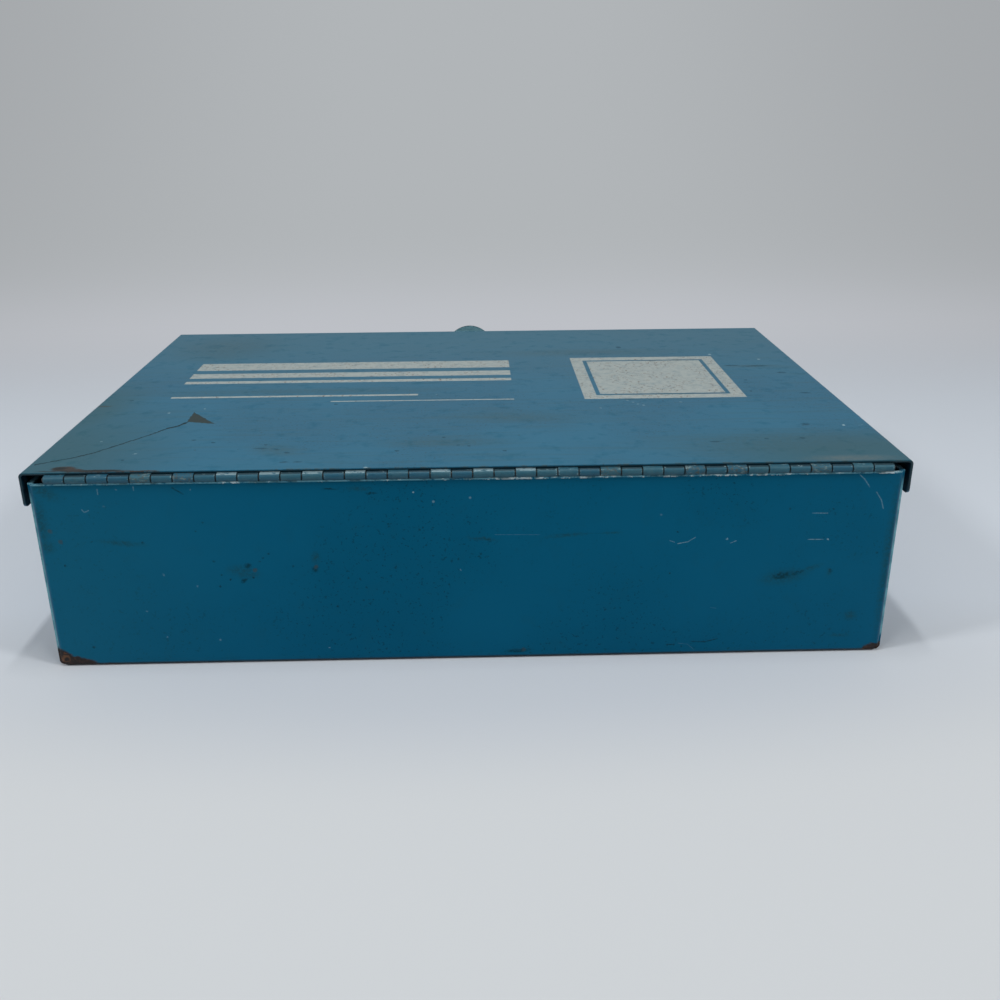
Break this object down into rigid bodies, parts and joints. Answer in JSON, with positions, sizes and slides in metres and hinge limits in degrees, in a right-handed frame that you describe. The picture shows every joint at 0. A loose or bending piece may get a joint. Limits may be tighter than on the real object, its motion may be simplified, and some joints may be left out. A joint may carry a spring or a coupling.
{
  "type": "wall first aid box",
  "caption": "Shallow folded-steel wall box with a flanged lid on a full-length hinge, a snap hasp with a round finger tab, and screw holes in its base.",
  "frame": {"origin": "Centre of the tray's base underside, the face that lies on the wall.", "axes": "+X runs along the hinge, to the right as the hinge side is seen; +Y goes from the hinge side to the latch side; +Z comes out of the wall, through the lid."},
  "size_m": [0.335, 0.2423, 0.0832],
  "materials": {
    "case_paint": "satin blue enamel, scuffed, rust at the base corners",
    "lid_paint": "satin blue enamel, chalked and scratched, with a worn off-white print",
    "hinge_paint": "blue enamel over the hinge, worn to steel on the knuckles",
    "latch_paint": "blue enamel, worn at the edges",
    "steel_wire": "drawn steel wire, dulled",
    "rivet_steel": "plated steel, dulled",
    "gasket_rubber": "matt black rubber"
  },
  "bodies": {
    "case": {"case_tray": "case_paint", "hinge_leaf_case": "hinge_paint", "hinge_pin": "steel_wire", "latch_bracket": "latch_paint", "bracket_rivets": "rivet_steel", "latch_pin": "steel_wire"},
    "lid": {"lid_shell": "lid_paint", "hinge_leaf_lid": "hinge_paint", "gasket_front": "gasket_rubber", "gasket_left": "gasket_rubber", "gasket_right": "gasket_rubber", "lid_keeper": "latch_paint", "keeper_rivets": "rivet_steel"},
    "latch": {"latch_hasp": "latch_paint"}
  },
  "joints": [
    {"name": "lid_hinge", "type": "hinge", "parent": "case", "child": "lid", "pos_m": [0, -0.1161, 0.079], "axis": [1, 0, 0], "range_deg": [0, 195]},
    {"name": "hasp_hinge", "type": "hinge", "parent": "case", "child": "latch", "pos_m": [0, 0.1183, 0.05], "axis": [-1, 0, 0], "range_deg": [0, 160]}
  ]
}
